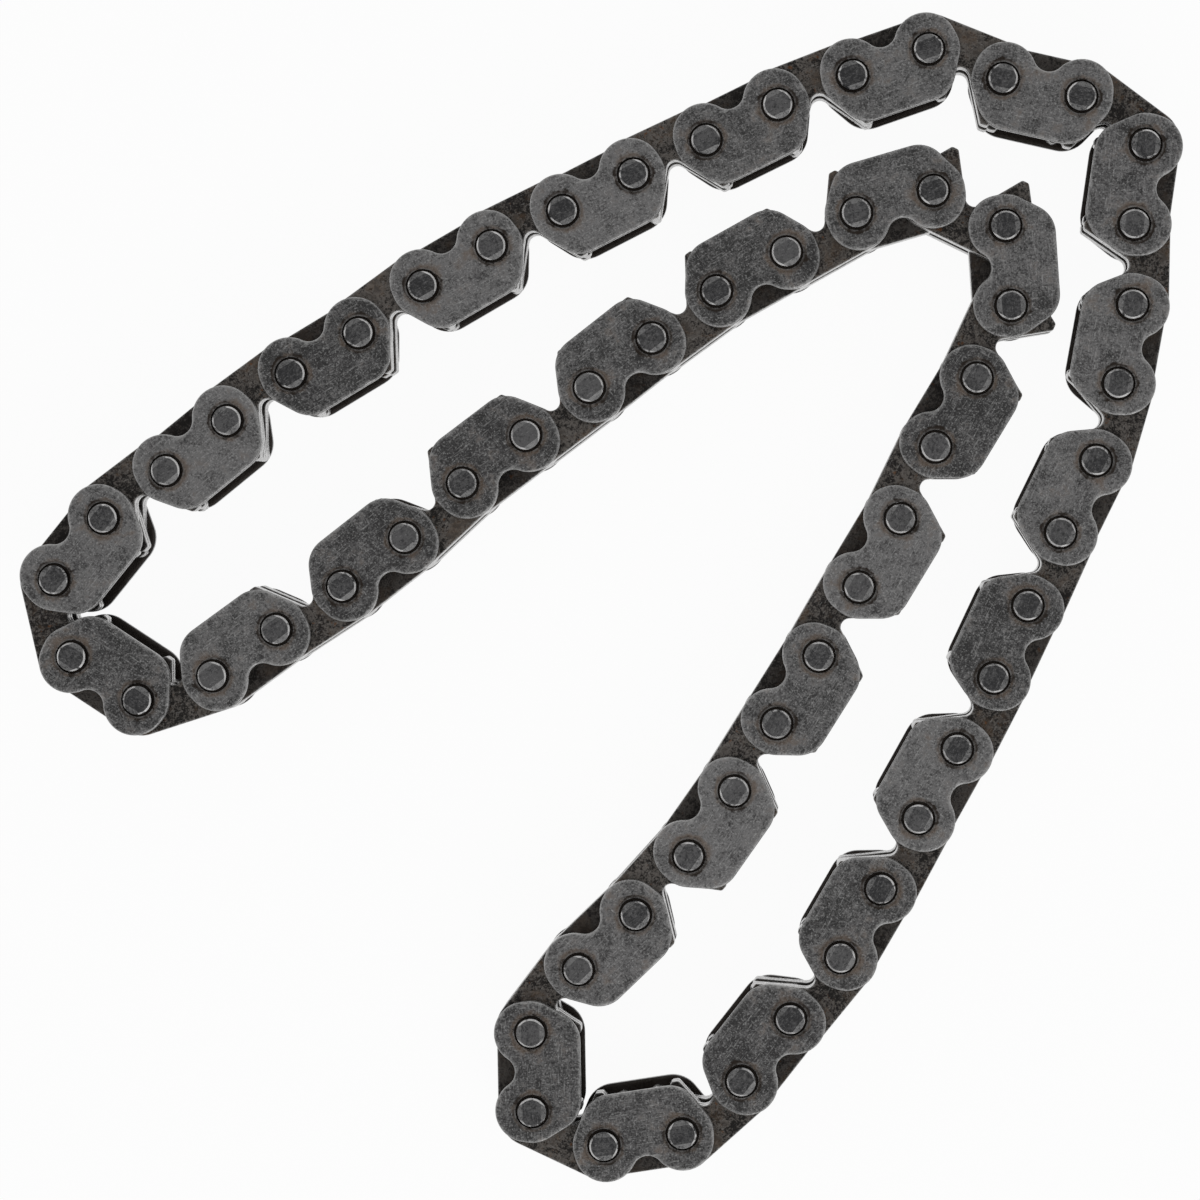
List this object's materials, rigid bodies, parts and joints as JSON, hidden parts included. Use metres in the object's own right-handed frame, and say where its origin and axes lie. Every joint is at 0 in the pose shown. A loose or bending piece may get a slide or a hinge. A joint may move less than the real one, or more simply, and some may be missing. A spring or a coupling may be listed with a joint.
{
  "type": "silent chain",
  "caption": "Endless inverted-tooth drive chain: bundles of toothed plates hinged on steel pins, with outer guide plates on every second link, lying on its side in a bent loop.",
  "frame": {"origin": "centre of the bounding box in plan, at the lower ends of the pins that it stands on", "axes": "+Z along the pins, upwards as the chain lies on its side; +X right and +Y up in the plan view"},
  "size_m": [0.1395, 0.1399, 0.0136],
  "materials": {
    "guide_link_steel": "dull grey hardened steel with an oily film",
    "tooth_link_steel": "dark hardened steel with brown oil stains"
  },
  "bodies": {
    "guide_link_01": {"guide_link_01": "guide_link_steel"},
    "tooth_link_01": {"tooth_link_01": "tooth_link_steel"},
    "guide_link_02": {"guide_link_02": "guide_link_steel"},
    "tooth_link_02": {"tooth_link_02": "tooth_link_steel"},
    "guide_link_03": {"guide_link_03": "guide_link_steel"},
    "tooth_link_03": {"tooth_link_03": "tooth_link_steel"},
    "guide_link_04": {"guide_link_04": "guide_link_steel"},
    "tooth_link_04": {"tooth_link_04": "tooth_link_steel"},
    "guide_link_05": {"guide_link_05": "guide_link_steel"},
    "tooth_link_05": {"tooth_link_05": "tooth_link_steel"},
    "guide_link_06": {"guide_link_06": "guide_link_steel"},
    "tooth_link_06": {"tooth_link_06": "tooth_link_steel"},
    "guide_link_07": {"guide_link_07": "guide_link_steel"},
    "tooth_link_07": {"tooth_link_07": "tooth_link_steel"},
    "guide_link_08": {"guide_link_08": "guide_link_steel"},
    "tooth_link_08": {"tooth_link_08": "tooth_link_steel"},
    "guide_link_09": {"guide_link_09": "guide_link_steel"},
    "tooth_link_09": {"tooth_link_09": "tooth_link_steel"},
    "guide_link_10": {"guide_link_10": "guide_link_steel"},
    "tooth_link_10": {"tooth_link_10": "tooth_link_steel"},
    "guide_link_11": {"guide_link_11": "guide_link_steel"},
    "tooth_link_11": {"tooth_link_11": "tooth_link_steel"},
    "guide_link_12": {"guide_link_12": "guide_link_steel"},
    "tooth_link_12": {"tooth_link_12": "tooth_link_steel"},
    "guide_link_13": {"guide_link_13": "guide_link_steel"},
    "tooth_link_13": {"tooth_link_13": "tooth_link_steel"},
    "guide_link_14": {"guide_link_14": "guide_link_steel"},
    "tooth_link_14": {"tooth_link_14": "tooth_link_steel"},
    "guide_link_15": {"guide_link_15": "guide_link_steel"},
    "tooth_link_15": {"tooth_link_15": "tooth_link_steel"},
    "guide_link_16": {"guide_link_16": "guide_link_steel"},
    "tooth_link_16": {"tooth_link_16": "tooth_link_steel"},
    "guide_link_17": {"guide_link_17": "guide_link_steel"},
    "tooth_link_17": {"tooth_link_17": "tooth_link_steel"},
    "guide_link_18": {"guide_link_18": "guide_link_steel"},
    "tooth_link_18": {"tooth_link_18": "tooth_link_steel"},
    "guide_link_19": {"guide_link_19": "guide_link_steel"},
    "tooth_link_19": {"tooth_link_19": "tooth_link_steel"},
    "guide_link_20": {"guide_link_20": "guide_link_steel"},
    "tooth_link_20": {"tooth_link_20": "tooth_link_steel"},
    "guide_link_21": {"guide_link_21": "guide_link_steel"},
    "tooth_link_21": {"tooth_link_21": "tooth_link_steel"},
    "guide_link_22": {"guide_link_22": "guide_link_steel"},
    "tooth_link_22": {"tooth_link_22": "tooth_link_steel"},
    "guide_link_23": {"guide_link_23": "guide_link_steel"},
    "tooth_link_23": {"tooth_link_23": "tooth_link_steel"},
    "guide_link_24": {"guide_link_24": "guide_link_steel"},
    "tooth_link_24": {"tooth_link_24": "tooth_link_steel"},
    "guide_link_25": {"guide_link_25": "guide_link_steel"},
    "tooth_link_25": {"tooth_link_25": "tooth_link_steel"},
    "guide_link_26": {"guide_link_26": "guide_link_steel"},
    "tooth_link_26": {"tooth_link_26": "tooth_link_steel"},
    "guide_link_27": {"guide_link_27": "guide_link_steel"},
    "tooth_link_27": {"tooth_link_27": "tooth_link_steel"},
    "guide_link_28": {"guide_link_28": "guide_link_steel"},
    "tooth_link_28": {"tooth_link_28": "tooth_link_steel"},
    "guide_link_29": {"guide_link_29": "guide_link_steel"},
    "tooth_link_29": {"tooth_link_29": "tooth_link_steel"},
    "guide_link_30": {"guide_link_30": "guide_link_steel"},
    "tooth_link_30": {"tooth_link_30": "tooth_link_steel"}
  },
  "joints": [
    {"name": "hinge_58", "type": "hinge", "parent": "guide_link_29", "child": "tooth_link_29", "pos_m": [-0.04617, -0.00922, 0.00677], "axis": [0, 0, -1], "range_deg": [-9.37, 0.4]},
    {"name": "hinge_59", "type": "hinge", "parent": "tooth_link_29", "child": "guide_link_30", "pos_m": [-0.05523, -0.01216, 0.00677], "axis": [0, 0, -1], "range_deg": [-0.96, 22.83]},
    {"name": "hinge_60", "type": "hinge", "parent": "guide_link_30", "child": "tooth_link_30", "pos_m": [-0.0632, -0.00695, 0.00677], "axis": [0, 0, -1], "range_deg": [-24, 1]},
    {"name": "hinge_01", "type": "hinge", "parent": "tooth_link_30", "child": "guide_link_01", "pos_m": [-0.06534, 0.00233, 0.00677], "axis": [0, 0, -1], "range_deg": [-0.45, 10.55]},
    {"name": "hinge_02", "type": "hinge", "parent": "guide_link_01", "child": "tooth_link_01", "pos_m": [-0.05935, 0.00973, 0.00677], "axis": [0, 0, -1], "range_deg": [-5.01, 12.01]},
    {"name": "hinge_03", "type": "hinge", "parent": "tooth_link_01", "child": "guide_link_02", "pos_m": [-0.05174, 0.01546, 0.00677], "axis": [0, 0, -1], "range_deg": [-24, 10]},
    {"name": "hinge_04", "type": "hinge", "parent": "guide_link_02", "child": "tooth_link_02", "pos_m": [-0.04434, 0.02146, 0.00677], "axis": [0, 0, -1], "range_deg": [-5.01, 12.01]},
    {"name": "hinge_05", "type": "hinge", "parent": "tooth_link_02", "child": "guide_link_03", "pos_m": [-0.03663, 0.02706, 0.00677], "axis": [0, 0, -1], "range_deg": [-12.01, 12.01]},
    {"name": "hinge_06", "type": "hinge", "parent": "guide_link_03", "child": "tooth_link_03", "pos_m": [-0.02847, 0.03196, 0.00677], "axis": [0, 0, -1], "range_deg": [-24, 24]},
    {"name": "hinge_07", "type": "hinge", "parent": "tooth_link_03", "child": "guide_link_04", "pos_m": [-0.02076, 0.03756, 0.00677], "axis": [0, 0, -1], "range_deg": [-12.01, 12.01]},
    {"name": "hinge_08", "type": "hinge", "parent": "guide_link_04", "child": "tooth_link_04", "pos_m": [-0.01252, 0.04232, 0.00677], "axis": [0, 0, -1], "range_deg": [-12.01, 12.01]},
    {"name": "hinge_09", "type": "hinge", "parent": "tooth_link_04", "child": "guide_link_05", "pos_m": [-0.00395, 0.0465, 0.00677], "axis": [0, 0, -1], "range_deg": [-24, 24]},
    {"name": "hinge_10", "type": "hinge", "parent": "guide_link_05", "child": "tooth_link_05", "pos_m": [0.00453, 0.05082, 0.00677], "axis": [0, 0, -1], "range_deg": [-12.01, 12.01]},
    {"name": "hinge_11", "type": "hinge", "parent": "tooth_link_05", "child": "guide_link_06", "pos_m": [0.01317, 0.05485, 0.00677], "axis": [0, 0, -1], "range_deg": [-12.01, 12.01]},
    {"name": "hinge_12", "type": "hinge", "parent": "guide_link_06", "child": "tooth_link_06", "pos_m": [0.02173, 0.05902, 0.00677], "axis": [0, 0, -1], "range_deg": [-24, 24]},
    {"name": "hinge_13", "type": "hinge", "parent": "tooth_link_06", "child": "guide_link_07", "pos_m": [0.03062, 0.06244, 0.00677], "axis": [0, 0, -1], "range_deg": [-12.01, 12.01]},
    {"name": "hinge_14", "type": "hinge", "parent": "guide_link_07", "child": "tooth_link_07", "pos_m": [0.03962, 0.06554, 0.00677], "axis": [0, 0, -1], "range_deg": [-14.67, 14.67]},
    {"name": "hinge_15", "type": "hinge", "parent": "tooth_link_07", "child": "guide_link_08", "pos_m": [0.04846, 0.06197, 0.00677], "axis": [0, 0, -1], "range_deg": [-24, 24]},
    {"name": "hinge_16", "type": "hinge", "parent": "guide_link_08", "child": "tooth_link_08", "pos_m": [0.05774, 0.05983, 0.00677], "axis": [0, 0, -1], "range_deg": [-3.71, 3.71]},
    {"name": "hinge_17", "type": "hinge", "parent": "tooth_link_08", "child": "guide_link_09", "pos_m": [0.06534, 0.0541, 0.00677], "axis": [0, 0, -1], "range_deg": [-5.65, 5.65]},
    {"name": "hinge_18", "type": "hinge", "parent": "guide_link_09", "child": "tooth_link_09", "pos_m": [0.06402, 0.04466, 0.00677], "axis": [0, 0, -1], "range_deg": [-12.01, 12.01]},
    {"name": "hinge_19", "type": "hinge", "parent": "tooth_link_09", "child": "guide_link_10", "pos_m": [0.06385, 0.03514, 0.00677], "axis": [0, 0, -1], "range_deg": [-24, 24]},
    {"name": "hinge_20", "type": "hinge", "parent": "guide_link_10", "child": "tooth_link_10", "pos_m": [0.0622, 0.02576, 0.00677], "axis": [0, 0, -1], "range_deg": [-12.01, 12.01]},
    {"name": "hinge_21", "type": "hinge", "parent": "tooth_link_10", "child": "guide_link_11", "pos_m": [0.05957, 0.0166, 0.00677], "axis": [0, 0, -1], "range_deg": [-12.01, 12.01]},
    {"name": "hinge_22", "type": "hinge", "parent": "guide_link_11", "child": "tooth_link_11", "pos_m": [0.0554, 0.00804, 0.00677], "axis": [0, 0, -1], "range_deg": [-24, 24]},
    {"name": "hinge_23", "type": "hinge", "parent": "tooth_link_11", "child": "guide_link_12", "pos_m": [0.05152, -0.00066, 0.00677], "axis": [0, 0, -1], "range_deg": [-12.01, 12.01]},
    {"name": "hinge_57", "type": "hinge", "parent": "guide_link_29", "child": "tooth_link_28", "pos_m": [-0.03846, -0.00362, 0.00677], "axis": [0, 0, 1], "range_deg": [-7.01, 12.01]},
    {"name": "hinge_56", "type": "hinge", "parent": "tooth_link_28", "child": "guide_link_28", "pos_m": [-0.03047, 0.00157, 0.00677], "axis": [0, 0, 1], "range_deg": [-24, 14]},
    {"name": "hinge_55", "type": "hinge", "parent": "guide_link_28", "child": "tooth_link_27", "pos_m": [-0.02297, 0.00743, 0.00677], "axis": [0, 0, 1], "range_deg": [-7.01, 12.01]},
    {"name": "hinge_54", "type": "hinge", "parent": "tooth_link_27", "child": "guide_link_27", "pos_m": [-0.016, 0.01393, 0.00677], "axis": [0, 0, 1], "range_deg": [-9.01, 12.01]},
    {"name": "hinge_53", "type": "hinge", "parent": "guide_link_27", "child": "tooth_link_26", "pos_m": [-0.00839, 0.01966, 0.00677], "axis": [0, 0, 1], "range_deg": [-24, 18]},
    {"name": "hinge_52", "type": "hinge", "parent": "tooth_link_26", "child": "guide_link_26", "pos_m": [-0.00079, 0.02539, 0.00677], "axis": [0, 0, 1], "range_deg": [-9.01, 12.01]},
    {"name": "hinge_51", "type": "hinge", "parent": "guide_link_26", "child": "tooth_link_25", "pos_m": [0.00672, 0.03126, 0.00677], "axis": [0, 0, 1], "range_deg": [-7.01, 12.01]},
    {"name": "hinge_50", "type": "hinge", "parent": "tooth_link_25", "child": "guide_link_25", "pos_m": [0.01443, 0.03686, 0.00677], "axis": [0, 0, 1], "range_deg": [-24, 14]},
    {"name": "hinge_49", "type": "hinge", "parent": "guide_link_25", "child": "tooth_link_24", "pos_m": [0.02276, 0.04148, 0.00677], "axis": [0, 0, 1], "range_deg": [-7.01, 12.01]},
    {"name": "hinge_48", "type": "hinge", "parent": "tooth_link_24", "child": "guide_link_24", "pos_m": [0.03109, 0.04609, 0.00677], "axis": [0, 0, 1], "range_deg": [-11.29, 11.29]},
    {"name": "hinge_47", "type": "hinge", "parent": "guide_link_24", "child": "tooth_link_23", "pos_m": [0.04024, 0.04872, 0.00677], "axis": [0, 0, 1], "range_deg": [-24, 24]},
    {"name": "hinge_46", "type": "hinge", "parent": "tooth_link_23", "child": "guide_link_23", "pos_m": [0.0488, 0.04454, 0.00677], "axis": [0, 0, 1], "range_deg": [-21.44, 21.44]},
    {"name": "hinge_45", "type": "hinge", "parent": "guide_link_23", "child": "tooth_link_22", "pos_m": [0.04947, 0.03504, 0.00677], "axis": [0, 0, 1], "range_deg": [-8.72, 8.72]},
    {"name": "hinge_44", "type": "hinge", "parent": "tooth_link_22", "child": "guide_link_22", "pos_m": [0.04544, 0.02641, 0.00677], "axis": [0, 0, 1], "range_deg": [-12.01, 12.01]},
    {"name": "hinge_43", "type": "hinge", "parent": "guide_link_22", "child": "tooth_link_21", "pos_m": [0.04054, 0.01824, 0.00677], "axis": [0, 0, 1], "range_deg": [-24, 24]},
    {"name": "hinge_42", "type": "hinge", "parent": "tooth_link_21", "child": "guide_link_21", "pos_m": [0.03636, 0.00968, 0.00677], "axis": [0, 0, 1], "range_deg": [-12.01, 12.01]},
    {"name": "hinge_41", "type": "hinge", "parent": "guide_link_21", "child": "tooth_link_20", "pos_m": [0.03146, 0.00152, 0.00677], "axis": [0, 0, 1], "range_deg": [-12.01, 12.01]},
    {"name": "hinge_40", "type": "hinge", "parent": "tooth_link_20", "child": "guide_link_20", "pos_m": [0.02669, -0.00673, 0.00677], "axis": [0, 0, 1], "range_deg": [-24, 24]},
    {"name": "hinge_39", "type": "hinge", "parent": "guide_link_20", "child": "tooth_link_19", "pos_m": [0.02165, -0.01481, 0.00677], "axis": [0, 0, 1], "range_deg": [-12.01, 12.01]},
    {"name": "hinge_38", "type": "hinge", "parent": "tooth_link_19", "child": "guide_link_19", "pos_m": [0.0166, -0.02289, 0.00677], "axis": [0, 0, 1], "range_deg": [-5.36, 5.36]},
    {"name": "hinge_37", "type": "hinge", "parent": "guide_link_19", "child": "tooth_link_18", "pos_m": [0.01114, -0.03069, 0.00677], "axis": [0, 0, 1], "range_deg": [-20, 20]},
    {"name": "hinge_36", "type": "hinge", "parent": "tooth_link_18", "child": "guide_link_18", "pos_m": [0.00476, -0.03777, 0.00677], "axis": [0, 0, 1], "range_deg": [-24, 24]},
    {"name": "hinge_35", "type": "hinge", "parent": "guide_link_18", "child": "tooth_link_17", "pos_m": [-0.00209, -0.04438, 0.00677], "axis": [0, 0, 1], "range_deg": [-9.37, 9.37]},
    {"name": "hinge_34", "type": "hinge", "parent": "tooth_link_17", "child": "guide_link_17", "pos_m": [-0.00782, -0.05199, 0.00677], "axis": [0, 0, 1], "range_deg": [-4.45, 1.49]},
    {"name": "hinge_33", "type": "hinge", "parent": "guide_link_17", "child": "tooth_link_16", "pos_m": [-0.00766, -0.06151, 0.00677], "axis": [0, 0, 1], "range_deg": [-4.11, 12.31]},
    {"name": "hinge_32", "type": "hinge", "parent": "tooth_link_16", "child": "guide_link_16", "pos_m": [0.00098, -0.06554, 0.00677], "axis": [0, 0, 1], "range_deg": [-15, 5]},
    {"name": "hinge_31", "type": "hinge", "parent": "guide_link_16", "child": "tooth_link_15", "pos_m": [0.01038, -0.06405, 0.00677], "axis": [0, 0, 1], "range_deg": [-2.39, 7.15]},
    {"name": "hinge_30", "type": "hinge", "parent": "tooth_link_15", "child": "guide_link_15", "pos_m": [0.01746, -0.05768, 0.00677], "axis": [0, 0, 1], "range_deg": [-12.01, 12.01]},
    {"name": "hinge_29", "type": "hinge", "parent": "guide_link_15", "child": "tooth_link_14", "pos_m": [0.02333, -0.05017, 0.00677], "axis": [0, 0, 1], "range_deg": [-24, 24]},
    {"name": "hinge_28", "type": "hinge", "parent": "tooth_link_14", "child": "guide_link_14", "pos_m": [0.02932, -0.04277, 0.00677], "axis": [0, 0, 1], "range_deg": [-12.01, 12.01]},
    {"name": "hinge_27", "type": "hinge", "parent": "guide_link_14", "child": "tooth_link_13", "pos_m": [0.03408, -0.03452, 0.00677], "axis": [0, 0, 1], "range_deg": [-12.01, 12.01]},
    {"name": "hinge_26", "type": "hinge", "parent": "tooth_link_13", "child": "guide_link_13", "pos_m": [0.03856, -0.02611, 0.00677], "axis": [0, 0, 1], "range_deg": [-24, 24]},
    {"name": "hinge_25", "type": "hinge", "parent": "guide_link_13", "child": "tooth_link_12", "pos_m": [0.04317, -0.01778, 0.00677], "axis": [0, 0, 1], "range_deg": [-12.01, 12.01]}
  ],
  "couplings": [
    {"joint": "hinge_02", "follows": "hinge_03", "ratio": -0.5},
    {"joint": "hinge_04", "follows": "hinge_03", "ratio": -0.5},
    {"joint": "hinge_05", "follows": "hinge_06", "ratio": -0.5},
    {"joint": "hinge_07", "follows": "hinge_06", "ratio": -0.5},
    {"joint": "hinge_08", "follows": "hinge_09", "ratio": -0.5},
    {"joint": "hinge_10", "follows": "hinge_09", "ratio": -0.5},
    {"joint": "hinge_11", "follows": "hinge_12", "ratio": -0.5},
    {"joint": "hinge_13", "follows": "hinge_12", "ratio": -0.5},
    {"joint": "hinge_14", "follows": "hinge_15", "ratio": -0.611},
    {"joint": "hinge_16", "follows": "hinge_15", "ratio": -0.154},
    {"joint": "hinge_17", "follows": "hinge_15", "ratio": -0.235},
    {"joint": "hinge_18", "follows": "hinge_19", "ratio": -0.5},
    {"joint": "hinge_20", "follows": "hinge_19", "ratio": -0.5},
    {"joint": "hinge_21", "follows": "hinge_22", "ratio": -0.5},
    {"joint": "hinge_23", "follows": "hinge_22", "ratio": -0.5},
    {"joint": "hinge_25", "follows": "hinge_26", "ratio": -0.5},
    {"joint": "hinge_27", "follows": "hinge_26", "ratio": -0.5},
    {"joint": "hinge_28", "follows": "hinge_29", "ratio": -0.5},
    {"joint": "hinge_30", "follows": "hinge_29", "ratio": -0.5},
    {"joint": "hinge_31", "follows": "hinge_32", "ratio": -0.476},
    {"joint": "hinge_33", "follows": "hinge_32", "ratio": -0.82},
    {"joint": "hinge_34", "follows": "hinge_32", "ratio": 0.296},
    {"joint": "hinge_35", "follows": "hinge_36", "ratio": -0.39},
    {"joint": "hinge_37", "follows": "hinge_36", "ratio": -0.833},
    {"joint": "hinge_38", "follows": "hinge_36", "ratio": 0.223},
    {"joint": "hinge_39", "follows": "hinge_40", "ratio": -0.5},
    {"joint": "hinge_41", "follows": "hinge_40", "ratio": -0.5},
    {"joint": "hinge_42", "follows": "hinge_43", "ratio": -0.5},
    {"joint": "hinge_44", "follows": "hinge_43", "ratio": -0.5},
    {"joint": "hinge_45", "follows": "hinge_47", "ratio": 0.363},
    {"joint": "hinge_46", "follows": "hinge_47", "ratio": -0.893},
    {"joint": "hinge_48", "follows": "hinge_47", "ratio": -0.47},
    {"joint": "hinge_49", "follows": "hinge_50", "ratio": -0.5},
    {"joint": "hinge_51", "follows": "hinge_50", "ratio": -0.5},
    {"joint": "hinge_52", "follows": "hinge_53", "ratio": -0.5},
    {"joint": "hinge_54", "follows": "hinge_53", "ratio": -0.5},
    {"joint": "hinge_55", "follows": "hinge_56", "ratio": -0.5},
    {"joint": "hinge_57", "follows": "hinge_56", "ratio": -0.5},
    {"joint": "hinge_58", "follows": "hinge_60", "ratio": 0.39},
    {"joint": "hinge_59", "follows": "hinge_60", "ratio": -0.951},
    {"joint": "hinge_01", "follows": "hinge_60", "ratio": -0.439}
  ]
}
